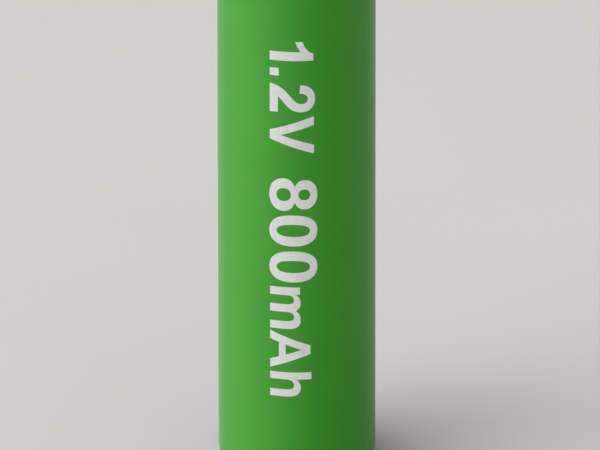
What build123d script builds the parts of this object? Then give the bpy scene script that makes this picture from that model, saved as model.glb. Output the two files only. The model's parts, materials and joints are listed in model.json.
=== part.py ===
"""A rechargeable nickel metal hydride cell of the HR03 (AAA) size, as an assembly of its real pieces.

The frame has its origin at the centre of the foot. +Z runs along the cell to the positive nub, and the
printed side of the sleeve faces -Y. Lengths are in millimetres.
"""

from build123d import *
import math
import os

# Overall size
cell_diameter = 10.4  # over the sleeve
cell_height = 44.5  # from the foot to the top of the nub
nub_rise = 1.1  # nub above the sleeve's top rim
press_gap = 0.01  # between formed pieces that are pressed together

# Sleeve, a shrunk plastic tube
sleeve_wall = 0.12
sleeve_foot_lap = 1.35  # how far it turns in under the can
sleeve_top_lap = 1.45  # how far it turns in over the washer
sleeve_foot_clear = 0.04  # rim above the surface that the cell stands on
sleeve_waist_depth = 0.13  # how far the film draws into the bead
sleeve_waist_half = 0.55
sleeve_waist_bend = 1.1

# Can
can_wall = 0.22
foot_margin = 0.38  # between the sleeve's rim and the step round the foot's contact face
foot_slope = 0.17  # width of that step
foot_bend = 0.05  # inside radius of the step's lower bend
foot_upper_bend = 0.1
can_foot_bend = 0.65  # inside radius between bottom and wall
bead_bend = 0.08  # inside radius of the bead's two shoulders
bead_flat = 0.03  # straight run between neighbouring bends of the bead
crimp_bend = 0.62  # inside radius of the mouth's turned-in rim
crimp_width = 1.37  # from the can's outside to the edge of its mouth

# Top washer
washer_thickness = 0.3
washer_nub_gap = 0.5
washer_overlap = 0.55  # how far the washer lies on the crimped rim

# Gasket and cover
gasket_fold = 0.3  # over the cover's edge
gasket_foot = 0.35  # under the cover's edge
gasket_wall = 0.46  # between the cover's edge and the can
gasket_fold_lap = 0.92  # how far the fold reaches over the cover
gasket_foot_lap = 0.47
cover_thickness = 0.45
vent_bore = 0.5
vent_seat_rise = 0.12
vent_seat_width = 0.35

# Positive cap
cap_wall = 0.28
nub_radius = 1.85
nub_bend = 0.16  # inside radius of the nub's top edge
cap_root_bend = 0.22  # outside radius where nub and flange meet
cap_flange_gap = 0.35  # between the flange and the gasket's fold
gas_hole_radius = 0.28
gas_hole_count = 3
gas_hole_above_washer = 0.06

# Safety vent inside the nub
vent_gap = 0.01  # between the seal and its seat
vent_seal_radius = 1.2
vent_seal_thickness = 0.42
vent_plate_radius = 1.32
vent_plate_thickness = 0.18
vent_plate_rim = 0.1  # rim that keeps the seal centred
spring_wire = 0.17
spring_radius = 0.98  # to the middle of the wire
spring_turns = 2.5
spring_end_gap = 0.01

# Insulating discs
insulator_thickness = 0.25
upper_insulator_slack = 0.1  # between its rim and the can
upper_insulator_clear = 0.03  # under the bead
gas_passage_radius = 0.8
lower_insulator_thickness = 0.2
lower_insulator_slack = 0.08

# Electrode roll
separator_thickness = 0.1
negative_thickness = 0.28
positive_thickness = 0.74
layer_gap = 0.01
roll_slack = 0.05  # between the roll and the can
roll_end_gap = 0.02  # between the roll and each insulating disc
negative_setback = 0.35  # electrode edge inside the separator's edge
positive_setback = 0.6
last_half_turn = 6  # counted from 0, this one lies against the can
negative_end = 280  # degrees from the start of that half turn to the end of each strip
inner_separator_end = 283
positive_first_half_turn = 1  # half turn where the positive strip starts
positive_last_half_turn = 4
outer_separator_end = 35  # degrees past the end of the positive strip

# Positive tab
tab_width = 2.0
tab_thickness = 0.12
tab_in_roll = 6.0
tab_bend = 0.18  # inside radius of its folds
tab_half_turn = 2  # half turn of the roll that carries the tab
tab_fold_margin = 0.9  # between the upper fold and the gasket
tab_side_gap = 0.15
tab_first_fold = 0.3  # height of the lower fold above the upper insulator
tab_weld_length = 2.2
tape_thickness = 0.05
tape_gap = 0.01

# Radii that follow
cell_radius = cell_diameter / 2
sleeve_foot_rim = cell_radius - sleeve_foot_lap
sleeve_top_rim = cell_radius - sleeve_top_lap
can_radius = cell_radius - sleeve_wall - press_gap
can_bore = can_radius - can_wall
can_foot_radius = can_wall + can_foot_bend
foot_radius = sleeve_foot_rim - foot_margin - foot_slope
crimp_radius = can_wall + crimp_bend
crimp_mouth = can_radius - crimp_width
bead_radius = can_wall + bead_bend
bead_depth = 2 * bead_radius + bead_flat
bead_half = bead_radius + bead_flat / 2
cover_radius = can_bore - press_gap - gasket_wall
gasket_fold_bore = cover_radius - gasket_fold_lap
gasket_foot_bore = cover_radius - gasket_foot_lap
cap_flange_radius = gasket_fold_bore - cap_flange_gap
washer_bore = nub_radius + washer_nub_gap
tab_reach = gasket_foot_bore - tab_fold_margin  # of the lower leg past the axis

# Heights that follow, from the foot up
sleeve_foot_top = sleeve_foot_clear + sleeve_wall
can_ledge = sleeve_foot_top + press_gap  # bottom of the can outside its contact face
lower_insulator_bottom = can_ledge + can_wall + press_gap
roll_bottom = lower_insulator_bottom + lower_insulator_thickness + roll_end_gap

# Heights that follow, from the nub down
rim_top = cell_height - nub_rise
washer_top = rim_top - sleeve_wall - press_gap
washer_bottom = washer_top - washer_thickness
crimp_top = washer_bottom - press_gap
gasket_top = crimp_top - can_wall - press_gap
cover_top = gasket_top - gasket_fold - press_gap
cover_bottom = cover_top - cover_thickness
gasket_bottom = cover_bottom - press_gap - gasket_foot
bead_middle = gasket_bottom - press_gap - bead_half - bead_radius
upper_insulator_top = bead_middle - bead_half - bead_radius - upper_insulator_clear
upper_insulator_bottom = upper_insulator_top - insulator_thickness
roll_top = upper_insulator_bottom - roll_end_gap
flange_top = cover_top + cap_wall
vent_seal_bottom = cover_top + vent_seat_rise + vent_gap
vent_plate_bottom = vent_seal_bottom + vent_seal_thickness
spring_bottom = vent_plate_bottom + vent_plate_thickness + spring_end_gap
spring_top = cell_height - cap_wall - spring_end_gap

# The roll's layers, outwards from the winding line
negative_inside = separator_thickness + layer_gap
outer_separator_inside = negative_inside + negative_thickness + layer_gap
positive_inside = outer_separator_inside + separator_thickness + layer_gap
pitch = positive_inside + positive_thickness + layer_gap
roll_radius = can_bore - roll_slack
core_radius = roll_radius - negative_thickness - negative_inside - last_half_turn * pitch / 2


def turned(outline):
    """A solid of revolution about Z, from an outline drawn as (radius, height)."""
    return revolve(Plane.XZ * outline, Axis.Z)


def sheet(line, thickness):
    """The outline of a sheet of even thickness on the left of a line."""
    return make_face(offset(line, amount=thickness, side=Side.LEFT))


def ring(inner, outer, bottom, top):
    """The outline of a plain ring with a square section."""
    return Pos((inner + outer) / 2, (bottom + top) / 2) * Rectangle(outer - inner, top - bottom)


def make_sleeve():
    """Shrink tube that wraps the can and turns in over the foot and the washer."""
    corner = can_foot_radius + press_gap + sleeve_wall
    line = FilletPolyline(
        (sleeve_foot_rim, sleeve_foot_clear),
        (cell_radius, sleeve_foot_clear),
        (cell_radius, bead_middle - sleeve_waist_half),
        (cell_radius - sleeve_waist_depth, bead_middle),
        (cell_radius, bead_middle + sleeve_waist_half),
        (cell_radius, rim_top),
        (sleeve_top_rim, rim_top),
        radius=[corner] + [sleeve_waist_bend] * 3 + [corner],
    )
    return turned(sheet(line, sleeve_wall))


def make_can():
    """Drawn can: contact face, rounded bottom, wall, rolled bead and crimped mouth."""
    bead_root = can_radius - bead_depth
    line = FilletPolyline(
        (0, 0),
        (foot_radius, 0),
        (foot_radius + foot_slope, can_ledge),
        (can_radius, can_ledge),
        (can_radius, bead_middle - bead_half),
        (bead_root, bead_middle - bead_half),
        (bead_root, bead_middle + bead_half),
        (can_radius, bead_middle + bead_half),
        (can_radius, crimp_top),
        (crimp_mouth, crimp_top),
        radius=[can_wall + foot_bend, foot_upper_bend, can_foot_radius] + [bead_radius] * 4 + [crimp_radius],
    )
    return turned(sheet(line, can_wall))


def make_top_washer():
    """Flat insulating ring on the crimped rim, held by the sleeve."""
    return turned(ring(washer_bore, crimp_mouth + washer_overlap, washer_bottom, washer_top))


def make_gasket():
    """Ring folded round the cover's edge, between the bead and the crimped rim."""
    outside = can_bore - press_gap
    body = ring(gasket_fold_bore, outside, gasket_bottom, gasket_top)
    shoulder = body.vertices().group_by(Axis.X)[-1].group_by(Axis.Y)[-1]
    body = fillet(shoulder, crimp_bend - press_gap)
    slot = ring(0, cover_radius + press_gap, cover_bottom - press_gap, cover_top + press_gap)
    foot_bore = ring(0, gasket_foot_bore, gasket_bottom, cover_bottom)
    return turned(body - slot - foot_bore)


def make_cover_plate():
    """Sealing plate with a raised seat round the vent hole."""
    plate = ring(vent_bore, cover_radius, cover_bottom, cover_top)
    seat = ring(vent_bore, vent_bore + vent_seat_width, cover_bottom, cover_top + vent_seat_rise)
    return turned(plate + seat)


def make_positive_cap():
    """Pressed cap whose flange is welded to the cover, with gas holes round the nub."""
    line = FilletPolyline(
        (cap_flange_radius, flange_top),
        (nub_radius, flange_top),
        (nub_radius, cell_height),
        (0, cell_height),
        radius=[cap_root_bend, cap_wall + nub_bend],
    )
    cap = turned(sheet(line, cap_wall))
    hole_height = washer_top + gas_hole_above_washer + gas_hole_radius
    hole = Pos(0, 0, hole_height) * Rot(0, 90, 0) * Cylinder(
        gas_hole_radius, nub_radius + cap_wall, align=(Align.CENTER, Align.CENTER, Align.MIN)
    )
    for index in range(gas_hole_count):
        cap -= Rot(0, 0, 90 + 360 * index / gas_hole_count) * hole
    return cap


def make_vent_seal():
    """Rubber disc that closes the vent hole."""
    return turned(ring(0, vent_seal_radius, vent_seal_bottom, vent_plate_bottom))


def make_vent_plate():
    """Steel plate on the seal, with a rim that keeps the spring centred."""
    top = vent_plate_bottom + vent_plate_thickness
    inside = spring_radius + spring_wire / 2 + spring_end_gap
    plate = ring(0, vent_plate_radius, vent_plate_bottom, top)
    rim = ring(inside, vent_plate_radius, top, top + vent_plate_rim)
    return turned(plate + rim)


def make_vent_spring():
    """Coil spring between the vent plate and the top of the nub."""
    height = spring_top - spring_bottom - spring_wire
    path = Helix(height / spring_turns, height, spring_radius)
    section = Plane(path @ 0, z_dir=path % 0) * Circle(spring_wire / 2)
    coil = sweep(section, path, is_frenet=True)
    return Pos(0, 0, spring_bottom + spring_wire / 2) * coil


def winding(first, last, end, inside, thickness, bottom, top):
    """One wound strip made of half turns, the even ones round the axis and the odd ones beside it.

    Each half turn starts where the one before it ends. The last one ends after its own angle in degrees.
    """
    edges = []
    for index in range(first, last + 1):
        radius = core_radius + index * pitch / 2 + inside
        centre = (0, 0) if index % 2 == 0 else (pitch / 2, 0)
        start = 0 if index % 2 == 0 else 180
        turn = end if index == last else 180
        inner_arc = CenterArc(centre, radius, start, turn)
        outer_arc = CenterArc(centre, radius + thickness, start, turn)
        edges += [inner_arc, outer_arc]
        if index == first:
            edges.append(Line(inner_arc @ 0, outer_arc @ 0))
        if index == last:
            edges.append(Line(inner_arc @ 1, outer_arc @ 1))
    return Pos(0, 0, bottom) * extrude(make_face(edges), amount=top - bottom)


def tab_seat():
    """The face of the pocket in the positive strip that the tab lies on, as a distance along Y."""
    outside = core_radius + tab_half_turn * pitch / 2 + positive_inside + positive_thickness
    half_width = tab_width / 2 + tab_side_gap
    depth = tab_thickness + tape_thickness + 3 * tape_gap
    return math.sqrt(outside**2 - half_width**2) - depth


def make_inner_separator():
    """Separator that lies inside the negative strip."""
    end = inner_separator_end
    return winding(0, last_half_turn, end, 0, separator_thickness, roll_bottom, roll_top)


def make_outer_separator():
    """Separator between the negative strip and the positive strip outside it."""
    inside = outer_separator_inside
    last = positive_last_half_turn + 1
    return winding(0, last, outer_separator_end, inside, separator_thickness, roll_bottom, roll_top)


def make_negative_electrode():
    """Metal hydride strip. Its last turn is bare towards the can."""
    bottom = roll_bottom + negative_setback
    top = roll_top - negative_setback
    return winding(0, last_half_turn, negative_end, negative_inside, negative_thickness, bottom, top)


def make_positive_electrode():
    """Nickel hydroxide strip with a pressed pocket for the tab."""
    bottom = roll_bottom + positive_setback
    top = roll_top - positive_setback
    first = positive_first_half_turn
    last = positive_last_half_turn
    strip = winding(first, last, 180, positive_inside, positive_thickness, bottom, top)
    pocket = Box(
        tab_width + 2 * tab_side_gap,
        positive_thickness,
        tab_in_roll + tab_side_gap,
        align=(Align.CENTER, Align.MIN, Align.MAX),
    )
    return strip - Pos(0, tab_seat(), top) * pocket


def make_positive_tab():
    """Nickel ribbon: up from the roll, across the axis, folded back and welded to the cover."""
    seat = tab_seat() + tape_gap
    low = roll_top - positive_setback - tab_in_roll
    fold = upper_insulator_top + tab_first_fold
    bend = tab_bend + tab_thickness
    line = FilletPolyline(
        (seat + tab_thickness, low),
        (seat + tab_thickness, fold + tab_thickness),
        (-tab_reach, fold + tab_thickness),
        (-tab_reach, cover_bottom - tab_thickness),
        (tab_weld_length - tab_reach, cover_bottom - tab_thickness),
        radius=[bend, tab_bend, tab_bend],
    )
    return extrude(Plane.YZ * sheet(line, tab_thickness), amount=tab_width / 2, both=True)


def make_tab_tape():
    """Insulating tape over the part of the tab that lies in the roll."""
    strip = Box(
        tab_width,
        tape_thickness,
        tab_in_roll,
        align=(Align.CENTER, Align.MIN, Align.MAX),
    )
    face = tab_seat() + 2 * tape_gap + tab_thickness
    return Pos(0, face, roll_top - positive_setback) * strip


def make_upper_insulator():
    """Disc under the bead, with a gas passage and a slot for the tab."""
    outside = can_bore - upper_insulator_slack
    disc = turned(ring(gas_passage_radius, outside, upper_insulator_bottom, upper_insulator_top))
    slot = Box(
        tab_width + 2 * tab_side_gap,
        tab_thickness + 2 * tab_side_gap,
        3 * insulator_thickness,
    )
    middle = tab_seat() + tape_gap + tab_thickness / 2
    return disc - Pos(0, middle, upper_insulator_bottom) * slot


def make_lower_insulator():
    """Disc between the roll and the can's bottom."""
    outside = can_bore - can_foot_bend - lower_insulator_slack
    top = lower_insulator_bottom + lower_insulator_thickness
    return turned(ring(0, outside, lower_insulator_bottom, top))


makers = {
    "sleeve": make_sleeve,
    "steel_can": make_can,
    "top_washer": make_top_washer,
    "gasket": make_gasket,
    "cover_plate": make_cover_plate,
    "positive_cap": make_positive_cap,
    "vent_seal": make_vent_seal,
    "vent_plate": make_vent_plate,
    "vent_spring": make_vent_spring,
    "positive_tab": make_positive_tab,
    "tab_tape": make_tab_tape,
    "upper_insulator": make_upper_insulator,
    "lower_insulator": make_lower_insulator,
    "positive_electrode": make_positive_electrode,
    "negative_electrode": make_negative_electrode,
    "inner_separator": make_inner_separator,
    "outer_separator": make_outer_separator,
}

os.makedirs("parts", exist_ok=True)
for name, make in makers.items():
    export_step(make(), f"parts/{name}.step")
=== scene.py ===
"""Dresses a cylindrical battery cell: film sleeve, print, metal, board and the wound core."""

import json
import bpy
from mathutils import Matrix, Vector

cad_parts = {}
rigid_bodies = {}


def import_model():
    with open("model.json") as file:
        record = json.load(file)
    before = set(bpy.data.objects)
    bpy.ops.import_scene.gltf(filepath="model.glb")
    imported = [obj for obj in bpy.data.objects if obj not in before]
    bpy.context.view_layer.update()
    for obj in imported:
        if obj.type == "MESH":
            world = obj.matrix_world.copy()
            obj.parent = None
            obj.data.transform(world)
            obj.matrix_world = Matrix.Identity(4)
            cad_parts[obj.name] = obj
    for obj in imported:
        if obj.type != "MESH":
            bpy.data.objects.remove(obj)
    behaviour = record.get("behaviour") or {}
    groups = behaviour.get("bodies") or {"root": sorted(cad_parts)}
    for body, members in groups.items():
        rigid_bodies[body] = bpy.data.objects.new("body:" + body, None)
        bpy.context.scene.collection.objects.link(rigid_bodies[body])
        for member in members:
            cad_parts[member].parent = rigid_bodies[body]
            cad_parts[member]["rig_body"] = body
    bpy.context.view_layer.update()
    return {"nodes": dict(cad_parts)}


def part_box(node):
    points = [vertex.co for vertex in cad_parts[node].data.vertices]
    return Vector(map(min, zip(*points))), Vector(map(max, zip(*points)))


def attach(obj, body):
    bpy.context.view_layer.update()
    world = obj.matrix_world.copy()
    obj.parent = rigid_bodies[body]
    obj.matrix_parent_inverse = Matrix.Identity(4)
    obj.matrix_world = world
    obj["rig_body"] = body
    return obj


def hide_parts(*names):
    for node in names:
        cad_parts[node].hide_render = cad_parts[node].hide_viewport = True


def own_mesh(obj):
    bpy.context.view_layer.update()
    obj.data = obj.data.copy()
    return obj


bl_info = {
    "name": "Cylindrical Battery Cell",
    "version": (1, 0, 0),
    "blender": (4, 5, 0),
    "location": "3D View > Sidebar > Cell",
    "description": "Makes the outside of a small rechargeable cell and finishes its inner parts",
    "category": "Object",
}

from math import atan2, cos, hypot, pi, radians, sin, tan, tau
from types import SimpleNamespace

import bmesh
import bpy
from bpy.props import FloatProperty, FloatVectorProperty, IntProperty, PointerProperty
from mathutils import Matrix, Vector
from mathutils.noise import noise as noise_at

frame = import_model()

MM = 0.001
CELL_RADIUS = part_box("sleeve")[1].x / MM
CELL_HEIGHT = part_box("positive_cap")[1].z / MM
FOOT_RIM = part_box("sleeve")[0].z / MM
TOP_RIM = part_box("sleeve")[1].z / MM
WASHER_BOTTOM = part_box("top_washer")[0].z / MM
WASHER_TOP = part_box("top_washer")[1].z / MM
WASHER_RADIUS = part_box("top_washer")[1].x / MM
SPRING_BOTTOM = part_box("vent_spring")[0].z / MM
SPRING_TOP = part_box("vent_spring")[1].z / MM

SLEEVE_STEPS = 360  # faces round the sleeve
WASHER_STEPS = 192  # faces round the washer
SPRING_STEPS = 48  # straight pieces in each turn of the spring's wire
WIRE_SIDES = 16  # faces round the spring's wire
ROUNDING_DETAIL = 4  # a rounding of 1 mm gets this many times the usual segments
TINY = 1e-6  # corners closer than this, in mm, are one
SLACK = 1e-4  # in mm, so that rounded figures leave no edge out

RIM_OUTER_ROUNDING = 0.04  # at the film's cut edges, in mm
RIM_INNER_ROUNDING = 0.02
RIM_CUTS = 3  # cuts across the turned-in film, so that it can fold
TOP_NOISE_PLACE = 2.0  # where the noise of the folds is read for the top
FOOT_NOISE_PLACE = 5.0
FOLD_WIDTH = 2.2  # the higher, the narrower each fold
FOLD_RISE = 1.6  # power by which the folds rise towards the cut edge
PATCH_WAVES = 1.7  # waves in the noise that makes some folds higher
PATCH_MIDDLE = 0.6  # share of the full height that an average fold has
PATCH_LEAST = 0.15
FOOT_SHARE = 0.8  # of the foot's clearance that a fold may fill
WANDER_WAVES = (2.3, 7)  # slow and quick waves of the cut edge

STRIP = 0.14  # width in mm of the strips that let the signs bend with the film
STRIP_CUTS = 23  # enough for the highest sign
CURVE_STEPS = 10  # straight pieces in each curve of an outline
INK_SINK = 1.25  # the ink is this many times thicker than it stands on the film
SIGN_GAP = 1e-5  # corners of the signs closer than this, in mm, are one
SIGN_CLOSE = 1e-9  # an outline that ends this close to its start is closed there
ROLL_RADIUS = 4.7  # radius in mm on which the punched holes are laid out

SMOOTH = 50  # edges that bend less than this many degrees are shaded smooth
SIGN_SMOOTH = 35

# Each lamp: degrees from the front round to the right, degrees up, width and height in m
LAMPS = {
    "side_lamp": (-65, 16, 2.43, 1.39),
    "top_lamp": (0, 90, 3.0, 3.0),
    "high_lamp": (-90, 70, 1.9, 1.9),
    "gloss_lamp": (-75, 22, 1.9, 0.92),
}
LAMP_COLOUR = (1, 0.992, 0.985)
FILL_COLOUR = (1, 0.99, 0.985, 1)
FLOOR_FADE = (0.1, 0.33)  # distances in m between which the floor turns into the backdrop
FLOOR_HALF = 6  # half the floor's width in m
FLOOR_CELLS = 8
FLOOR_DROP = 1e-6  # how far the floor lies below the foot, in m
SENSOR = 36  # width of the camera's sensor in mm
VIEW_REACH = (0.01, 100)  # nearest and farthest distance in m that the camera sees

CAPITAL = 72  # height of a capital letter on the grid that the outlines are drawn on

# M starts an outline, L draws a line, C a curve with two handles, Z closes it
OUTLINES = {
    "1": "M 25 0 L 40 0 L 40 72 L 28.5 72 C 26 63 18 57 8 54.5 L 8 42.5"
    " C 15 44.5 21 47.5 25 51.5 Z",
    ".": "M 7 0 L 21.5 0 L 21.5 14.5 L 7 14.5 Z",
    "2": "M 3.5 0 L 51.5 0 L 51.5 13.5 L 24.5 13.5 C 27.5 17.5 33 21.5 38.5 26"
    " C 46 32 51 40 51 50.5 C 51 64 42 73 28.5 73 C 14.5 73 6 65 5 49.5 L 19 48"
    " C 19.5 57 23 61.5 28 61.5 C 33.5 61.5 36.8 57.5 36.8 51.5"
    " C 36.8 44.5 32.5 40 24 33 C 12 23.5 5 14.5 3.5 0 Z",
    "V": "M 0 72 L 25 0 L 41 0 L 66 72 L 50.5 72 L 33.2 18 L 15.5 72 Z",
    "8": "M 16.5 38.5 C 10 41.5 6.5 46.5 6.5 53 C 6.5 65 15 73 28 73"
    " C 41 73 49.5 65 49.5 53 C 49.5 46.5 46 41.5 39.5 38.5"
    " C 47.5 35.5 52 29.5 52 21.5 C 52 8 42.5 -1 28 -1 C 13.5 -1 4 8 4 21.5"
    " C 4 29.5 8.5 35.5 16.5 38.5 Z"
    " M 28 62 C 32.8 62 35.8 58.5 35.8 53 C 35.8 47.5 32.8 44 28 44"
    " C 23.2 44 20.2 47.5 20.2 53 C 20.2 58.5 23.2 62 28 62 Z"
    " M 28 32.5 C 33.5 32.5 37.5 28.5 37.5 21.8 C 37.5 14.8 33.8 10.5 28 10.5"
    " C 22.2 10.5 18.5 14.8 18.5 21.8 C 18.5 28.5 22.5 32.5 28 32.5 Z",
    "0": "M 28 73 C 12.5 73 4.5 60 4.5 36 C 4.5 12 12.5 -1 28 -1"
    " C 43.5 -1 51.5 12 51.5 36 C 51.5 60 43.5 73 28 73 Z"
    " M 28 61.5 C 34 61.5 37.2 54 37.2 36 C 37.2 18 34 10.5 28 10.5"
    " C 22 10.5 18.8 18 18.8 36 C 18.8 54 22 61.5 28 61.5 Z",
    "m": "M 6.5 0 L 20.5 0 L 20.5 28 C 20.5 37 23.5 42 29.5 42"
    " C 34.5 42 36.8 38.5 36.8 31 L 36.8 0 L 50.8 0 L 50.8 28"
    " C 50.8 37 54 42 60 42 C 65 42 67.3 38.5 67.3 31 L 67.3 0 L 81.3 0 L 81.3 34"
    " C 81.3 47 75.5 53.5 65 53.5 C 58 53.5 52.5 50.5 48.5 45"
    " C 46 50.5 41.5 53.5 35 53.5 C 28.5 53.5 23 50.5 19.5 45 L 19.5 52.3"
    " L 6.5 52.3 Z",
    "A": "M 0 0 L 15.5 0 L 21 16 L 48.5 16 L 54 0 L 70 0 L 43.2 72 L 27 72 Z"
    " M 25.2 28.2 L 35 56.5 L 44.5 28.2 Z",
    "h": "M 6.5 0 L 20.5 0 L 20.5 27 C 20.5 36.5 24.5 42 31.5 42"
    " C 37.5 42 40.3 38 40.3 30 L 40.3 0 L 54.3 0 L 54.3 32.5"
    " C 54.3 46.5 48 53.5 36.5 53.5 C 29.8 53.5 24.5 51 20.5 46 L 20.5 72"
    " L 6.5 72 Z",
}

# Each sign of the rating: the gap before it, its width and its capital height, in mm
RATING = (
    ("1", 0.00, 1.37, 2.90),
    (".", 0.55, 0.54, 3.05),
    ("2", 0.58, 2.03, 2.97),
    ("V", 0.30, 2.68, 2.93),
    ("8", 1.77, 2.36, 3.12),
    ("0", 0.30, 2.25, 3.12),
    ("0", 0.36, 2.25, 3.12),
    ("m", 0.36, 3.02, 2.75),
    ("A", 0.18, 2.68, 2.69),
    ("h", 0.30, 1.76, 2.75),
)


def length(name, default, text):
    """A size, given in mm and kept in metres."""
    return FloatProperty(
        name=name, description=text, default=default * MM, precision=6, subtype="DISTANCE",
        unit="LENGTH",
    )


def colour(name, default, text):
    """A colour as a material or a lamp takes it."""
    return FloatVectorProperty(
        name=name, description=text, default=default, subtype="COLOR", size=3, min=0, max=1
    )


def power(name, default, text):
    """A lamp's power in watts."""
    return FloatProperty(name=name, description=text, default=default, unit="POWER")


class SleeveSettings(bpy.types.PropertyGroup):
    """Sizes and colours of the shrunk film and its print."""

    film_wall: length("Film wall", 0.12, "Thickness of the film")
    foot_lap: length("Foot lap", 1.35, "How far the film turns in under the can")
    top_lap: length("Top lap", 1.45, "How far the film turns in over the washer")
    corner: length("Corner radius", 1.0, "Outer radius where the film turns in")
    waist_height: length("Waist height", 40.985, "Height of the drawn-in waist")
    waist_depth: length("Waist depth", 0.13, "How far the film draws in there")
    waist_half: length("Waist half width", 0.55, "Half the height of the waist")
    waist_bend: length("Waist bend", 1.1, "Radius of the waist's soft bends")
    pleat_start: length("Pleat start", 0.55, "From the side to where the pleats start")
    pleat_height: length("Pleat height", 0.06, "Height of the pleats at the cut edges")
    edge_wander: length("Edge wander", 0.022, "How far the cut edges stray")
    pleats: IntProperty(name="Pleats", description="Pleats round each cut edge", default=34)
    film_colour: colour("Film", (0.0417, 0.340, 0.0145), "Colour of the printed film")
    ink_colour: colour("Ink", (0.88, 0.90, 0.873), "Colour of the printed rating")
    ink_height: length("Ink height", 0.008, "How far the ink stands on the film")
    rating_top: length("Rating top", 32.35, "Height where the rating starts")
    baseline: FloatProperty(
        name="Baseline",
        description="Angle of the letters' baseline from the middle of the front",
        default=radians(-19.7),
        subtype="ANGLE",
        unit="ROTATION",
    )


class MetalSettings(bpy.types.PropertyGroup):
    """Colours of the plated and bare metal and of the board washer."""

    nickel: colour("Nickel plate", (0.64, 0.615, 0.575), "Colour of the plated steel")
    wire: colour("Spring wire", (0.56, 0.56, 0.55), "Colour of the spring")
    ribbon: colour("Nickel ribbon", (0.66, 0.64, 0.60), "Colour of the welded tab")
    board: colour("Washer board", (0.80, 0.79, 0.755), "Colour of the top washer")
    nylon: colour("Nylon", (0.74, 0.735, 0.66), "Colour of the sealing gasket")
    rubber: colour("Rubber", (0.018, 0.018, 0.019), "Colour of the vent's seal")
    board_edge: length("Board edge", 0.05, "Rounding of the washer's edges")


class SpringSettings(bpy.types.PropertyGroup):
    """Sizes of the vent's spring."""

    wire: length("Wire", 0.17, "Thickness of the wire")
    radius: length("Coil radius", 0.98, "From the axis to the middle of the wire")
    turns: FloatProperty(name="Turns", description="Turns from end to end", default=2.5)


class CoreSettings(bpy.types.PropertyGroup):
    """Colours of the wound core."""

    hydroxide: colour("Positive strip", (0.055, 0.066, 0.058), "Pasted positive strip")
    alloy: colour("Negative strip", (0.115, 0.113, 0.110), "Metal powder of the negative strip")
    felt: colour("Separator", (0.80, 0.80, 0.785), "Fibre separator")
    disc: colour("Insulating disc", (0.76, 0.77, 0.765), "Discs above and below the roll")
    tape: colour("Tape", (0.62, 0.27, 0.045), "Tape over the tab")


class StudioSettings(bpy.types.PropertyGroup):
    """Floor, light and camera."""

    floor: colour("Floor", (0.602, 0.591, 0.593), "Colour of the seamless floor")
    backdrop: colour("Backdrop", (0.631, 0.617, 0.617), "Colour beyond the floor")
    sky: FloatProperty(name="Fill light", description="Strength of the soft fill", default=0.226)
    side_lamp: power("Side lamp", 35.1, "Power of the soft lamp low at the side")
    top_lamp: power("Top lamp", 19.1, "Power of the soft lamp overhead")
    high_lamp: power("High lamp", 41.1, "Power of the soft lamp high at the side")
    gloss_lamp: power("Gloss lamp", 164, "Power of the lamp that only gloss shows")
    lamp_distance: FloatProperty(
        name="Lamp distance",
        description="From the cell to each lamp",
        default=2.6,
        subtype="DISTANCE",
        unit="LENGTH",
    )
    elevation: FloatProperty(
        name="Camera elevation",
        description="Height of the camera above the horizon",
        default=radians(25),
        subtype="ANGLE",
        unit="ROTATION",
    )
    roll: FloatProperty(
        name="Camera roll",
        description="Turn of the camera about its own axis",
        default=radians(-0.067),
        subtype="ANGLE",
        unit="ROTATION",
    )
    distance: FloatProperty(
        name="Camera distance",
        description="From the camera to the middle of its view",
        default=1.178,
        subtype="DISTANCE",
        unit="LENGTH",
    )
    lens: FloatProperty(
        name="Lens",
        description="Focal length",
        default=1073,
        unit="CAMERA",
    )
    aim: FloatVectorProperty(
        name="Aim",
        description="Middle of the camera's view",
        default=(0.000218, 0, 0.01676),
        subtype="TRANSLATION",
        unit="LENGTH",
    )


# ---------------------------------------------------------------- shaping


def in_mm(settings):
    """A copy of the settings with their lengths in mm."""
    copy = SimpleNamespace()
    for name in type(settings).__annotations__:
        is_length = settings.bl_rna.properties[name].unit == "LENGTH"
        value = getattr(settings, name)
        setattr(copy, name, value / MM if is_length else value)
    return copy


def round_outline(corners, segments):
    """Join (radius, height, rounding) corners in mm to a closed outline and round them."""
    shape = bmesh.new()
    points = [Vector((radius, 0, height)) for radius, height, rounding in corners]
    verts = [shape.verts.new(point) for point in points]
    for first, second in zip(verts, verts[1:] + verts[:1]):
        shape.edges.new((first, second))
    for i, (radius, height, rounding) in enumerate(corners):
        if not rounding:
            continue
        before = points[i] - points[i - 1]
        after = points[(i + 1) % len(points)] - points[i]
        bmesh.ops.bevel(
            shape,
            geom=[verts[i]],
            offset=rounding * tan(before.angle(after) / 2),
            offset_type="OFFSET",
            affect="VERTICES",
            segments=max(segments, round(segments * rounding * ROUNDING_DETAIL)),
            profile=0.5,
            material=-1,
        )
    return shape


def spin_round(shape, steps):
    """Turn an outline about the upright axis to a closed body."""
    bmesh.ops.spin(
        shape,
        geom=shape.verts[:] + shape.edges[:],
        cent=(0, 0, 0),
        axis=(0, 0, 1),
        dvec=(0, 0, 0),
        angle=tau,
        steps=steps,
        use_merge=True,
        use_duplicate=False,
    )
    bmesh.ops.remove_doubles(shape, verts=shape.verts, dist=TINY)
    bmesh.ops.recalc_face_normals(shape, faces=shape.faces)


def finish_piece(name, shape, body, material, smooth=SMOOTH, replaced=()):
    """Scale a shape from mm to metres, link it to its body, and hide the frame's parts that it
    replaces.
    """
    bmesh.ops.scale(shape, vec=(MM, MM, MM), verts=shape.verts)
    for face in shape.faces:
        face.smooth = True
    for edge in shape.edges:
        edge.smooth = len(edge.link_faces) == 2 and edge.calc_face_angle(0) < radians(smooth)
    mesh = bpy.data.meshes.new(name)
    shape.to_mesh(mesh)
    shape.free()
    mesh.materials.append(material)
    piece = bpy.data.objects.new(name, mesh)
    bpy.context.scene.collection.objects.link(piece)
    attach(piece, body)
    if replaced:
        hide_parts(*replaced)
    return piece


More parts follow.
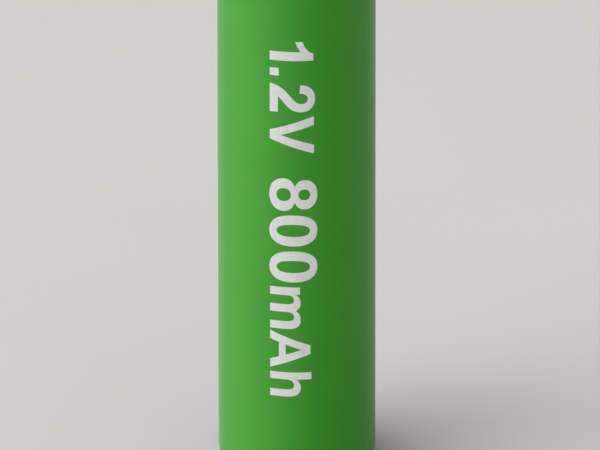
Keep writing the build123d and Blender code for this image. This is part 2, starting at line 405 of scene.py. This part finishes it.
# ---------------------------------------------------------------- finishes


def add(tree, kind, fields=None, inputs=None):
    """Add a shader node, set its fields, and fill or link its inputs."""
    made = tree.nodes.new("ShaderNode" + kind)
    for field, value in (fields or {}).items():
        setattr(made, field, value)
    for socket, value in (inputs or {}).items():
        if isinstance(value, bpy.types.NodeSocket):
            tree.links.new(value, made.inputs[socket])
        else:
            made.inputs[socket].default_value = value
    return made


def start_finish(name):
    """A new material, its node tree, its shader, and object coordinates in mm."""
    material = bpy.data.materials.new(name)
    material.use_nodes = True
    tree = material.node_tree
    tree.nodes.clear()
    shader = add(tree, "BsdfPrincipled")
    output = add(tree, "OutputMaterial")
    tree.links.new(shader.outputs["BSDF"], output.inputs["Surface"])
    where = add(tree, "TexCoord").outputs["Object"]
    place = add(tree, "Mapping", None, {"Vector": where, "Scale": (1 / MM, 1 / MM, 1 / MM)})
    return material, tree, shader, place.outputs["Vector"]


def stretched(tree, place, scale, turn=(0, 0, 0)):
    """Coordinates stretched by scale, for grain that runs one way."""
    made = add(tree, "Mapping", None, {"Vector": place, "Scale": scale, "Rotation": turn})
    return made.outputs["Vector"]


def wrapped(tree, place, radius):
    """Coordinates that follow a round wall: along its arc, up, and out."""
    parts = add(tree, "SeparateXYZ", None, {"Vector": place}).outputs
    turn = add(tree, "Math", {"operation": "ARCTAN2"}, {0: parts["Y"], 1: parts["X"]}).outputs[0]
    arc = times(tree, turn, radius)
    made = add(tree, "CombineXYZ", None, {"X": arc, "Y": parts["Z"]})
    return made.outputs["Vector"]


def noise(tree, place, scale, detail=3, roughness=0.5, distortion=0):
    """Value of a soft noise with scale cells in each mm."""
    inputs = {
        "Vector": place,
        "Scale": scale,
        "Detail": detail,
        "Roughness": roughness,
        "Distortion": distortion,
    }
    return add(tree, "TexNoise", None, inputs).outputs["Fac"]


def cells(tree, place, scale, feature="F1", randomness=1.0):
    """Distance to the nearest of scattered points, scale of them in each mm."""
    inputs = {"Vector": place, "Scale": scale, "Randomness": randomness}
    return add(tree, "TexVoronoi", {"feature": feature}, inputs).outputs["Distance"]


def spread(tree, value, low, high, to_low=0.0, to_high=1.0):
    """Stretch the part of value between low and high to another range."""
    inputs = {
        "Value": value,
        "From Min": low,
        "From Max": high,
        "To Min": to_low,
        "To Max": to_high,
    }
    return add(tree, "MapRange", {"clamp": True}, inputs).outputs["Result"]


def evened(tree, value, to_low=0.0, to_high=1.0):
    """Stretch the part of a noise that its values mostly lie in, 0.3 to 0.7, to another range."""
    return spread(tree, value, 0.3, 0.7, to_low, to_high)


def share(tree, value, most):
    """Turn a value between 0 and 1 into one between 0 and most."""
    return spread(tree, value, 0, 1, 0, most)


def larger(tree, first, second):
    """The larger of two values."""
    return add(tree, "Math", {"operation": "MAXIMUM"}, {0: first, 1: second}).outputs[0]


def times(tree, first, second):
    """The product of two values."""
    return add(tree, "Math", {"operation": "MULTIPLY"}, {0: first, 1: second}).outputs[0]


def mixed(tree, factor, first, second):
    """Mix two colours by a factor."""
    made = add(tree, "Mix", {"data_type": "RGBA"})
    for socket, value in zip(("Factor_Float", "A_Color", "B_Color"), (factor, first, second)):
        end = next(s for s in made.inputs if s.identifier == socket)
        if isinstance(value, bpy.types.NodeSocket):
            tree.links.new(value, end)
        else:
            end.default_value = value
    return next(s for s in made.outputs if s.identifier == "Result_Color")


def raised(tree, height, distance, strength=1.0, under=None):
    """Bump of a height given in mm, on top of an earlier one."""
    inputs = {"Height": height, "Distance": distance * MM, "Strength": strength}
    if under is not None:
        inputs["Normal"] = under
    return add(tree, "Bump", None, inputs).outputs["Normal"]


def toned(rgb, factor):
    """A colour made lighter or darker, with its alpha."""
    return tuple(min(1.0, part * factor) for part in rgb) + (1.0,)


def set_shader(tree, shader, **inputs):
    """Fill or link the shader's inputs; underscores stand for spaces."""
    for socket, value in inputs.items():
        end = shader.inputs[socket.replace("_", " ")]
        if isinstance(value, bpy.types.NodeSocket):
            tree.links.new(value, end)
        else:
            end.default_value = value


def film_finish(rgb):
    """Satin shrink film, printed from behind: soft mottling, fine grain and small streaks."""
    material, tree, shader, place = start_finish("green_film")
    mottle = evened(tree, noise(tree, place, 0.35, 2))
    base = mixed(tree, mottle, toned(rgb, 0.965), toned(rgb, 1.03))
    specks = spread(tree, noise(tree, place, 9, 4, 0.6), 0.35, 0.75)
    base = mixed(tree, share(tree, specks, 0.10), base, toned(rgb, 0.84))
    streaks = noise(tree, stretched(tree, place, (2.2, 2.2, 0.12)), 1.4, 3)
    gloss = evened(tree, streaks, 0.53, 0.61)
    skin = noise(tree, place, 5.5, 3, 0.45)
    grain = noise(tree, place, 26, 2)
    bump = raised(tree, skin, 0.0016)
    bump = raised(tree, grain, 0.0007, 0.8, bump)
    set_shader(
        tree, shader, Base_Color=base, Roughness=gloss, Normal=bump, Specular_IOR_Level=0.30,
        Sheen_Weight=0.20, Sheen_Roughness=0.35,
    )
    return material


def ink_finish(rgb):
    """Matt white screen ink, a little thin where the mesh missed."""
    material, tree, shader, place = start_finish("rating_ink")
    cover = spread(tree, noise(tree, place, 3.2, 4, 0.6), 0.32, 0.7)
    base = mixed(tree, cover, toned(rgb, 0.955), toned(rgb, 1.02))
    pits = spread(tree, cells(tree, place, 7.5), 0.0, 0.16, 0.88, 1.0)
    base = mixed(tree, pits, toned(rgb, 0.86), base)
    bump = raised(tree, noise(tree, place, 11, 3), 0.0012)
    set_shader(
        tree, shader, Base_Color=base, Roughness=0.58, Normal=bump, Specular_IOR_Level=0.15,
        Diffuse_Roughness=1.0,
    )
    return material


def nickel_finish(name, rgb, grain, wear=1.0):
    """Nickel plate over drawn steel: grain along one way, hairlines and small marks."""
    material, tree, shader, place = start_finish(name)
    cloud = evened(tree, noise(tree, place, 0.8, 3))
    base = mixed(tree, cloud, toned(rgb, 0.93), toned(rgb, 1.05))
    marks = spread(tree, noise(tree, place, 14, 5, 0.7), 0.60, 0.78)
    base = mixed(tree, share(tree, marks, 0.35 * wear), base, toned(rgb, 0.62))
    lines = noise(tree, stretched(tree, place, grain), 2.4, 5, 0.62)
    hairs = noise(tree, stretched(tree, place, (1.1, 17, 3), (0, 0, radians(37))), 1.6, 2)
    rough = evened(tree, lines, 0.20, 0.36)
    bump = raised(tree, lines, 0.0022)
    bump = raised(tree, spread(tree, hairs, 0.60, 0.70), 0.0012, wear, bump)
    set_shader(tree, shader, Base_Color=base, Metallic=1.0, Roughness=rough, Normal=bump)
    return material


def wire_finish(rgb):
    """Drawn stainless wire."""
    material, tree, shader, place = start_finish("drawn_wire")
    lines = noise(tree, stretched(tree, place, (1, 1, 9)), 3, 4, 0.6)
    base = mixed(tree, evened(tree, lines), toned(rgb, 0.82), toned(rgb, 1.06))
    rough = evened(tree, lines, 0.22, 0.38)
    bump = raised(tree, lines, 0.0015)
    set_shader(tree, shader, Base_Color=base, Metallic=1.0, Roughness=rough, Normal=bump)
    return material


def board_finish(rgb):
    """Pressed fibre board: matted short fibres and a few darker ones."""
    material, tree, shader, place = start_finish("fibre_board")
    wide = noise(tree, stretched(tree, place, (1.2, 7, 4)), 2.1, 4, 0.65, 0.5)
    turned = stretched(tree, place, (7, 1.2, 4), (0, 0, radians(24)))
    cross = noise(tree, turned, 2.1, 4, 0.65, 0.5)
    felt = larger(tree, wide, cross)
    base = mixed(tree, spread(tree, felt, 0.42, 0.72), toned(rgb, 0.88), toned(rgb, 1.04))
    dark = spread(tree, noise(tree, place, 8, 3, 0.7), 0.64, 0.72, 0, 0.35)
    base = mixed(tree, dark, base, toned(rgb, 0.55))
    bump = raised(tree, felt, 0.012)
    set_shader(tree, shader, Base_Color=base, Roughness=0.86, Normal=bump)
    return material


def moulded_finish(name, rgb, roughness, pebble, speck):
    """Moulded nylon or rubber: a fine pebbled skin with flow lines."""
    material, tree, shader, place = start_finish(name)
    flow = noise(tree, stretched(tree, place, (1, 1, 3)), 1.1, 2, 0.4, 0.3)
    base = mixed(tree, evened(tree, flow), toned(rgb, 0.93), toned(rgb, 1.08))
    skin = noise(tree, place, pebble, 3, 0.6)
    dust = spread(tree, cells(tree, place, pebble * 0.7), 0, 0.12, speck, 0)
    base = mixed(tree, dust, base, toned(rgb, 2.4))
    gloss = evened(tree, skin, roughness - 0.06, roughness + 0.08)
    bump = raised(tree, skin, 0.004)
    set_shader(tree, shader, Base_Color=base, Roughness=gloss, Normal=bump)
    return material


def disc_finish(rgb):
    """Milky punched plastic film with faint calender lines."""
    material, tree, shader, place = start_finish("milky_film")
    lines = noise(tree, stretched(tree, place, (0.4, 9, 1)), 1.5, 3)
    base = mixed(tree, evened(tree, lines), toned(rgb, 0.93), toned(rgb, 1.03))
    haze = noise(tree, place, 3, 3)
    gloss = evened(tree, haze, 0.34, 0.48)
    bump = raised(tree, lines, 0.003)
    set_shader(tree, shader, Base_Color=base, Roughness=gloss, Normal=bump)
    return material


def felt_finish(rgb):
    """Non-woven separator: crossed fibres with open pores between them."""
    material, tree, shader, place = start_finish("fibre_felt")
    upright = noise(tree, stretched(tree, place, (9, 9, 0.9)), 1.7, 4, 0.7, 0.7)
    level = noise(tree, stretched(tree, place, (0.9, 0.9, 9)), 1.7, 4, 0.7, 0.7)
    turned = stretched(tree, place, (6, 6, 1.2), (radians(40), radians(15), 0))
    slant = noise(tree, turned, 1.9, 4, 0.7)
    crossed = larger(tree, larger(tree, upright, level), slant)
    base = mixed(tree, spread(tree, crossed, 0.48, 0.70), toned(rgb, 0.72), toned(rgb, 1.06))
    bump = raised(tree, crossed, 0.03)
    set_shader(tree, shader, Base_Color=base, Roughness=0.92, Normal=bump)
    return material


def paste_finish(rgb):
    """Dark paste pressed into a metal foam, with bright struts where the foam shows."""
    material, tree, shader, place = start_finish("pasted_foam")
    foam = cells(tree, place, 3.4, "DISTANCE_TO_EDGE")
    strut = spread(tree, foam, 0.02, 0.10, 1, 0)
    patch = spread(tree, noise(tree, place, 0.9, 3), 0.45, 0.65)
    shown = times(tree, strut, patch)
    grain = noise(tree, place, 12, 4, 0.7)
    base = mixed(tree, evened(tree, grain), toned(rgb, 0.7), toned(rgb, 1.35))
    base = mixed(tree, share(tree, shown, 0.7), base, (0.42, 0.41, 0.39, 1))
    bump = raised(tree, foam, 0.03)
    bump = raised(tree, grain, 0.012, 1, bump)
    set_shader(
        tree, shader, Base_Color=base, Roughness=0.78, Normal=bump,
        Metallic=share(tree, shown, 0.6),
    )
    return material


def alloy_finish(rgb):
    """Grey alloy powder on a punched strip: staggered holes show as shallow dimples, darkened by
    painted shade, and bright flecks are painted glints.
    """
    material, tree, shader, place = start_finish("pressed_alloy")
    holes = cells(tree, wrapped(tree, place, ROLL_RADIUS), 0.62, randomness=0.0)
    dimple = spread(tree, holes, 0.26, 0.36)
    grain = noise(tree, place, 16, 4, 0.72)
    # painted glints: tiny bright flecks where the metal grains would sparkle
    painted_glint = spread(tree, cells(tree, place, 22), 0, 0.18, 1, 0)
    base = mixed(tree, evened(tree, grain), toned(rgb, 0.72), toned(rgb, 1.3))
    # painted shade: the colour darkens inside the dimples, where shade would fall
    base = mixed(tree, spread(tree, dimple, 0, 1, 0.35, 0), base, toned(rgb, 0.5))
    base = mixed(tree, share(tree, painted_glint, 0.6), base, toned(rgb, 3.2))
    bump = raised(tree, dimple, 0.02)
    bump = raised(tree, grain, 0.010, 1, bump)
    set_shader(tree, shader, Base_Color=base, Metallic=0.55, Roughness=0.6, Normal=bump)
    return material


def ribbon_finish(rgb):
    """Slit nickel ribbon with rolling lines and rows of small weld marks."""
    material, tree, shader, place = start_finish("rolled_ribbon")
    lines = noise(tree, stretched(tree, place, (12, 0.5, 0.5)), 1.5, 4, 0.6)
    base = mixed(tree, evened(tree, lines), toned(rgb, 0.88), toned(rgb, 1.06))
    spots = cells(tree, place, 1.15, randomness=0.15)
    weld = spread(tree, spots, 0.16, 0.24, 1, 0)
    ring = spread(tree, spots, 0.24, 0.34, 1, 0)
    base = mixed(tree, share(tree, ring, 0.35), base, (0.36, 0.30, 0.22, 1))
    rough = evened(tree, lines, 0.20, 0.34)
    bump = raised(tree, spread(tree, weld, 0, 1, 1, 0), 0.02)
    bump = raised(tree, lines, 0.002, 1, bump)
    set_shader(tree, shader, Base_Color=base, Metallic=1.0, Roughness=rough, Normal=bump)
    return material


def tape_finish(rgb):
    """Clear amber tape with trapped bubbles and a soft gloss."""
    material, tree, shader, place = start_finish("clear_amber")
    haze = noise(tree, place, 1.3, 3)
    base = mixed(tree, evened(tree, haze), toned(rgb, 0.80), toned(rgb, 1.15))
    bubbles = spread(tree, cells(tree, place, 3.2), 0.05, 0.16, 1, 0)
    base = mixed(tree, share(tree, bubbles, 0.4), base, toned(rgb, 1.5))
    bump = raised(tree, bubbles, 0.006)
    set_shader(tree, shader, Base_Color=base, Roughness=0.22, Normal=bump, Coat_Weight=0.4)
    return material


def refinish(material, *nodes):
    """Give carried-over parts of the frame a better finish."""
    for node in nodes:
        part = frame["nodes"][node]
        for slot in part.material_slots:
            slot.material = material


# ---------------------------------------------------------------- pieces


class CELL_OT_sleeve(bpy.types.Operator):
    """Shrunk film sleeve with a soft waist and pleated cut edges"""

    bl_idname = "cell.sleeve"
    bl_label = "Film Sleeve"

    def execute(self, context):
        s = in_mm(context.scene.cell_sleeve)
        outside = CELL_RADIUS - s.ink_height
        foot_rim = CELL_RADIUS - s.foot_lap
        top_rim = CELL_RADIUS - s.top_lap
        wall = s.film_wall
        inner_corner = s.corner - wall
        waist = ((-s.waist_half, 0), (0, s.waist_depth), (s.waist_half, 0))
        outer = [(outside - deep, s.waist_height + up, s.waist_bend) for up, deep in waist]
        inner = [(r - wall, z, bend) for r, z, bend in reversed(outer)]
        corners = [(foot_rim, FOOT_RIM, RIM_OUTER_ROUNDING), (outside, FOOT_RIM, s.corner)]
        corners += outer
        corners += [(outside, TOP_RIM, s.corner), (top_rim, TOP_RIM, RIM_OUTER_ROUNDING)]
        corners += [(top_rim, TOP_RIM - wall, RIM_INNER_ROUNDING)]
        corners += [(outside - wall, TOP_RIM - wall, inner_corner)]
        corners += inner
        corners += [(outside - wall, FOOT_RIM + wall, inner_corner)]
        corners += [(foot_rim, FOOT_RIM + wall, RIM_INNER_ROUNDING)]
        shape = round_outline(corners, segments=3)
        for height in (FOOT_RIM, TOP_RIM):
            flat = [
                edge
                for edge in shape.edges
                if abs(edge.verts[0].co.z - edge.verts[1].co.z) < TINY
                and abs(edge.verts[0].co.z - height) < wall + SLACK
            ]
            bmesh.ops.subdivide_edges(shape, edges=flat, cuts=RIM_CUTS)
        spin_round(shape, SLEEVE_STEPS)
        for vert in shape.verts:
            self.pleat(vert, s, foot_rim, top_rim)
        film = film_finish(s.film_colour)
        piece = finish_piece(
            "shrink_sleeve", shape, "cell", film, replaced=["sleeve"]
        )
        piece.visible_diffuse = False  # so that it throws no tint on the floor
        return {"FINISHED"}

    @staticmethod
    def pleat(vert, s, foot_rim, top_rim):
        """Gather the turned-in film in low folds that fade out round the corner."""
        radius, angle = hypot(vert.co.x, vert.co.y), atan2(vert.co.y, vert.co.x)
        top = vert.co.z > CELL_HEIGHT / 2
        rim = top_rim if top else foot_rim
        start = CELL_RADIUS - s.pleat_start
        inward = (start - radius) / (start - rim)
        if inward <= 0:
            return
        around = Vector((cos(angle), sin(angle), TOP_NOISE_PLACE if top else FOOT_NOISE_PLACE))
        wave = max(0.0, 1 - FOLD_WIDTH * abs(noise_at(around * (s.pleats / tau))))
        patch = max(PATCH_LEAST, PATCH_MIDDLE + noise_at(around * PATCH_WAVES))
        lift = s.pleat_height * min(1.0, inward) ** FOLD_RISE * wave * patch
        vert.co.z += lift if top else -min(lift, FOOT_SHARE * FOOT_RIM)
        slow, quick = (noise_at(around * waves) for waves in WANDER_WAVES)
        slide = s.edge_wander * inward**2 * (slow + 0.5 * quick)
        vert.co.x += slide * cos(angle)
        vert.co.y += slide * sin(angle)


class CELL_OT_rating(bpy.types.Operator):
    """Voltage and capacity rating in thick white ink, read from the top down"""

    bl_idname = "cell.rating"
    bl_label = "Printed Rating"

    def execute(self, context):
        s = in_mm(context.scene.cell_sleeve)
        shape = bmesh.new()
        along = 0.0
        for sign, gap, width, capital in RATING:
            glyph = self.draw(OUTLINES[sign], capital / CAPITAL)
            low = min(v.co.x for v in glyph.vertices)
            high = max(v.co.x for v in glyph.vertices)
            along += gap
            glyph.transform(Matrix.Translation((-low, 0, 0)))
            glyph.transform(Matrix.Diagonal((width / (high - low), 1, 1, 1)))
            glyph.transform(Matrix.Translation((along, 0, 0)))
            along += width
            shape.from_mesh(glyph)
            bpy.data.meshes.remove(glyph)
        self.cut_across(shape)
        for vert in shape.verts:
            angle = s.baseline + vert.co.y / CELL_RADIUS
            height = s.rating_top - vert.co.x
            vert.co = (CELL_RADIUS * sin(angle), -CELL_RADIUS * cos(angle), height)
        bmesh.ops.remove_doubles(shape, verts=shape.verts, dist=SIGN_GAP)
        self.face_out(shape)
        bmesh.ops.solidify(shape, geom=shape.faces[:], thickness=INK_SINK * s.ink_height)
        ink = ink_finish(s.ink_colour)
        finish_piece("printed_rating", shape, "cell", ink, SIGN_SMOOTH)
        return {"FINISHED"}

    @staticmethod
    def draw(path, scale):
        """Fill one sign's outlines flat."""
        curve = bpy.data.curves.new("sign", "CURVE")
        curve.dimensions = "2D"
        curve.fill_mode = "BOTH"
        curve.resolution_u = CURVE_STEPS
        for outline in path.split("M ")[1:]:
            knots = []
            for step in outline.replace("Z", "").replace("L", ";L").replace("C", ";C").split(";"):
                parts = step.split()
                curved = parts[0] == "C"
                numbers = [float(part) * scale for part in parts if part not in "LC"]
                pairs = [Vector((x, y, 0)) for x, y in zip(numbers[::2], numbers[1::2])]
                if curved:
                    knots[-1][2] = pairs[0]
                knots.append([pairs[1] if curved else pairs[-1], pairs[-1], pairs[-1]])
            if (knots[-1][1] - knots[0][1]).length < SIGN_CLOSE:
                knots[0][0] = knots.pop()[0]
            spline = curve.splines.new("BEZIER")
            spline.bezier_points.add(len(knots) - 1)
            spline.use_cyclic_u = True
            for point, (left, middle, right) in zip(spline.bezier_points, knots):
                point.handle_left_type = point.handle_right_type = "FREE"
                point.co, point.handle_left, point.handle_right = middle, left, right
        holder = bpy.data.objects.new("sign", curve)
        bpy.context.scene.collection.objects.link(holder)
        bpy.context.view_layer.update()
        evaluated = holder.evaluated_get(bpy.context.evaluated_depsgraph_get())
        mesh = bpy.data.meshes.new_from_object(evaluated)
        bpy.data.objects.remove(holder)
        bpy.data.curves.remove(curve)
        return mesh

    @staticmethod
    def cut_across(shape):
        """Cut the flat signs into narrow strips, so that they bend with the film."""
        for i in range(1, STRIP_CUTS + 1):
            bmesh.ops.bisect_plane(
                shape,
                geom=shape.verts[:] + shape.edges[:] + shape.faces[:],
                plane_co=(0, i * STRIP, 0),
                plane_no=(0, 1, 0),
            )

    @staticmethod
    def face_out(shape):
        """Turn every face away from the axis."""
        for face in shape.faces:
            middle = face.calc_center_median()
            if face.normal.dot(Vector((middle.x, middle.y, 0))) < 0:
                face.normal_flip()


class CELL_OT_can(bpy.types.Operator):
    """Drawn steel can and stamped cover, nickel plated"""

    bl_idname = "cell.can"
    bl_label = "Can and Cover"

    def execute(self, context):
        s = in_mm(context.scene.cell_metal)
        refinish(nickel_finish("drawn_nickel", s.nickel, (5, 5, 0.6)), "steel_can")
        refinish(nickel_finish("stamped_nickel", s.nickel, (1, 7, 3)), "cover_plate")
        refinish(moulded_finish("moulded_nylon", s.nylon, 0.42, 9, 0.10), "gasket")
        return {"FINISHED"}


class CELL_OT_washer(bpy.types.Operator):
    """Fibre-board washer between the cap and the film"""

    bl_idname = "cell.washer"
    bl_label = "Top Washer"

    def execute(self, context):
        s = in_mm(context.scene.cell_metal)
        bore = bore_of("top_washer")
        edge = s.board_edge
        corners = [
            (bore, WASHER_BOTTOM, edge),
            (WASHER_RADIUS, WASHER_BOTTOM, edge),
            (WASHER_RADIUS, WASHER_TOP, edge),
            (bore, WASHER_TOP, edge),
        ]
        shape = round_outline(corners, segments=4)
        spin_round(shape, WASHER_STEPS)
        board = board_finish(s.board)
        finish_piece("board_washer", shape, "cell", board, replaced=["top_washer"])
        return {"FINISHED"}


def bore_of(node):
    """Smallest radius of a node's mesh, in mm."""
    return min(hypot(v.co.x, v.co.y) for v in frame["nodes"][node].data.vertices) / MM


class CELL_OT_cap(bpy.types.Operator):
    """Positive cap with its gas holes, and the plate and seal of the vent under it"""

    bl_idname = "cell.cap"
    bl_label = "Cap and Vent"

    def execute(self, context):
        s = in_mm(context.scene.cell_metal)
        refinish(nickel_finish("cap_nickel", s.nickel, (1, 6, 1), 1.2), "positive_cap")
        refinish(nickel_finish("vent_nickel", s.nickel, (6, 1, 1)), "vent_plate")
        refinish(moulded_finish("moulded_rubber", s.rubber, 0.62, 12, 0.25), "vent_seal")
        return {"FINISHED"}


class CELL_OT_spring(bpy.types.Operator):
    """Coil spring that presses the vent's plate down and shortens as it lifts"""

    bl_idname = "cell.spring"
    bl_label = "Vent Spring"

    def execute(self, context):
        s = in_mm(context.scene.cell_spring)
        steps = round(SPRING_STEPS * s.turns)
        rise = SPRING_TOP - SPRING_BOTTOM - s.wire
        shape = bmesh.new()
        bmesh.ops.create_circle(shape, cap_ends=True, segments=WIRE_SIDES, radius=s.wire / 2)
        foot = Matrix.Translation((s.radius, 0, SPRING_BOTTOM + s.wire / 2))
        upright = Matrix.Rotation(pi / 2, 4, "X")
        bmesh.ops.transform(shape, matrix=foot @ upright, verts=shape.verts)
        bmesh.ops.spin(
            shape,
            geom=shape.faces[:],
            cent=(0, 0, 0),
            axis=(0, 0, 1),
            dvec=(0, 0, rise / steps),
            angle=tau * s.turns,
            steps=steps,
            use_merge=False,
            use_duplicate=False,
        )
        bmesh.ops.recalc_face_normals(shape, faces=shape.faces)
        finish = wire_finish(context.scene.cell_metal.wire)
        piece = finish_piece(
            "vent_coil", shape, "cell", finish, replaced=["vent_spring"]
        )
        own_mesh(piece)
        return {"FINISHED"}


class CELL_OT_core(bpy.types.Operator):
    """Wound strips, separators, insulating discs, tab and tape"""

    bl_idname = "cell.core"
    bl_label = "Wound Core"

    def execute(self, context):
        s = context.scene.cell_core
        refinish(paste_finish(s.hydroxide), "positive_electrode")
        refinish(alloy_finish(s.alloy), "negative_electrode")
        refinish(felt_finish(s.felt), "inner_separator", "outer_separator")
        refinish(disc_finish(s.disc), "upper_insulator", "lower_insulator")
        refinish(ribbon_finish(context.scene.cell_metal.ribbon), "positive_tab")
        refinish(tape_finish(s.tape), "tab_tape")
        return {"FINISHED"}


# ---------------------------------------------------------------- studio


def direction(azimuth, elevation):
    """Unit vector from the cell; azimuth runs from the front round to the right."""
    return Vector((sin(azimuth) * cos(elevation), -cos(azimuth) * cos(elevation), sin(elevation)))


def seen_rays(tree):
    """1 where the camera, gloss or a clear piece looks, 0 where light is gathered."""
    path = add(tree, "LightPath")
    either = path.outputs["Is Camera Ray"]
    for other in ("Is Glossy Ray", "Is Transmission Ray"):
        either = larger(tree, either, path.outputs[other])
    return either


class CELL_OT_studio(bpy.types.Operator):
    """Seamless floor, soft light and camera"""

    bl_idname = "cell.studio"
    bl_label = "Studio"

    def execute(self, context):
        s = context.scene.cell_studio
        for thing in list(context.scene.objects):
            if "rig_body" not in thing and thing.parent is None and not thing.children:
                if thing.type in {"CAMERA", "LIGHT"} or thing.name == "Cube":
                    bpy.data.objects.remove(thing)
        self.floor(s)
        self.world(context, s)
        for name, (azimuth, elevation, width, height) in LAMPS.items():
            toward = direction(radians(azimuth), radians(elevation))
            lamp = self.lamp(context, name, getattr(s, name), (width, height))
            lamp.location = toward * s.lamp_distance
            lamp.rotation_mode = "QUATERNION"
            lamp.rotation_quaternion = toward.to_track_quat("Z", "Y")
            lamp.visible_diffuse = name != "gloss_lamp"
        self.camera(context, s)
        context.scene.view_settings.view_transform = "Standard"
        return {"FINISHED"}

    @staticmethod
    def floor(s):
        """A wide plane with a faint, slow change of tone, which fades into the backdrop."""
        shape = bmesh.new()
        bmesh.ops.create_grid(
            shape, x_segments=FLOOR_CELLS, y_segments=FLOOR_CELLS, size=FLOOR_HALF
        )
        mesh = bpy.data.meshes.new("studio_floor")
        shape.to_mesh(mesh)
        shape.free()
        material, tree, shader, place = start_finish("studio_paper")
        tone = noise(tree, place, 0.03, 2)
        base = mixed(tree, evened(tree, tone), toned(s.floor, 0.99), toned(s.floor, 1.01))
        set_shader(tree, shader, Base_Color=base, Roughness=0.9, Specular_IOR_Level=0.2)
        away = add(tree, "VectorMath", {"operation": "LENGTH"}, {0: place}).outputs["Value"]
        far = spread(tree, away, FLOOR_FADE[0] / MM, FLOOR_FADE[1] / MM)
        fade = times(tree, far, seen_rays(tree))
        glow = add(tree, "Emission", None, {"Color": toned(s.backdrop, 1)})
        mix = add(tree, "MixShader", None, {0: fade})
        output = shader.outputs["BSDF"].links[0].to_socket
        tree.links.new(shader.outputs["BSDF"], mix.inputs[1])
        tree.links.new(glow.outputs[0], mix.inputs[2])
        tree.links.new(mix.outputs[0], output)
        mesh.materials.append(material)
        floor = bpy.data.objects.new("studio_floor", mesh)
        floor.location.z = -FLOOR_DROP
        bpy.context.scene.collection.objects.link(floor)

    @staticmethod
    def world(context, s):
        """Even fill light; the camera, gloss and clear pieces see the backdrop's colour."""
        world = bpy.data.worlds.new("studio")
        world.use_nodes = True
        tree = world.node_tree
        tree.nodes.clear()
        fill = add(tree, "Background", None, {"Color": FILL_COLOUR, "Strength": s.sky})
        seen = add(tree, "Background", None, {"Color": toned(s.backdrop, 1), "Strength": 1})
        mix = add(tree, "MixShader", None, {0: seen_rays(tree)})
        tree.links.new(fill.outputs[0], mix.inputs[1])
        tree.links.new(seen.outputs[0], mix.inputs[2])
        output = add(tree, "OutputWorld")
        tree.links.new(mix.outputs[0], output.inputs["Surface"])
        context.scene.world = world

    @staticmethod
    def lamp(context, name, watts, size):
        """A broad soft lamp that the camera doesn't see."""
        data = bpy.data.lights.new(name, "AREA")
        data.shape = "RECTANGLE"
        data.size, data.size_y = size
        data.energy = watts
        data.color = LAMP_COLOUR
        lamp = bpy.data.objects.new(name, data)
        lamp.visible_camera = False
        context.scene.collection.objects.link(lamp)
        return lamp

    @staticmethod
    def camera(context, s):
        """A long lens looking down at the lower part of the print."""
        data = bpy.data.cameras.new("camera")
        data.sensor_width = SENSOR
        data.lens = s.lens
        data.clip_start, data.clip_end = VIEW_REACH
        camera = bpy.data.objects.new("camera", data)
        back = direction(0, s.elevation)
        camera.location = Vector(s.aim) + back * s.distance
        look = back.to_track_quat("Z", "Y").to_matrix().to_4x4()
        turn = Matrix.Rotation(s.roll, 4, "Z")
        camera.rotation_mode = "QUATERNION"
        camera.rotation_quaternion = (look @ turn).to_quaternion()
        context.scene.collection.objects.link(camera)
        context.scene.camera = camera


class CELL_PT_panel(bpy.types.Panel):
    """Lists the cell's pieces and its settings"""

    bl_idname = "CELL_PT_panel"
    bl_label = "Battery Cell"
    bl_space_type = "VIEW_3D"
    bl_region_type = "UI"
    bl_category = "Cell"

    def draw(self, context):
        for operator in OPERATORS:
            self.layout.operator(operator.bl_idname)
        for group in SETTINGS:
            box = self.layout.box()
            settings = getattr(context.scene, group)
            for name in type(settings).__annotations__:
                box.prop(settings, name)


SETTINGS = {
    "cell_sleeve": SleeveSettings,
    "cell_metal": MetalSettings,
    "cell_spring": SpringSettings,
    "cell_core": CoreSettings,
    "cell_studio": StudioSettings,
}
OPERATORS = (
    CELL_OT_studio,
    CELL_OT_sleeve,
    CELL_OT_rating,
    CELL_OT_can,
    CELL_OT_washer,
    CELL_OT_cap,
    CELL_OT_spring,
    CELL_OT_core,
)


def register():
    """Register the classes and hang the settings on the scene."""
    for kind in (*SETTINGS.values(), *OPERATORS, CELL_PT_panel):
        bpy.utils.register_class(kind)
    for name, kind in SETTINGS.items():
        setattr(bpy.types.Scene, name, PointerProperty(type=kind))


def unregister():
    """Undo register."""
    for name in SETTINGS:
        delattr(bpy.types.Scene, name)
    for kind in reversed((*SETTINGS.values(), *OPERATORS, CELL_PT_panel)):
        bpy.utils.unregister_class(kind)


def main():
    """Make everything."""
    register()
    for operator in OPERATORS:
        group, name = operator.bl_idname.split(".")
        getattr(getattr(bpy.ops, group), name)()


if __name__ == "__main__":
    main()
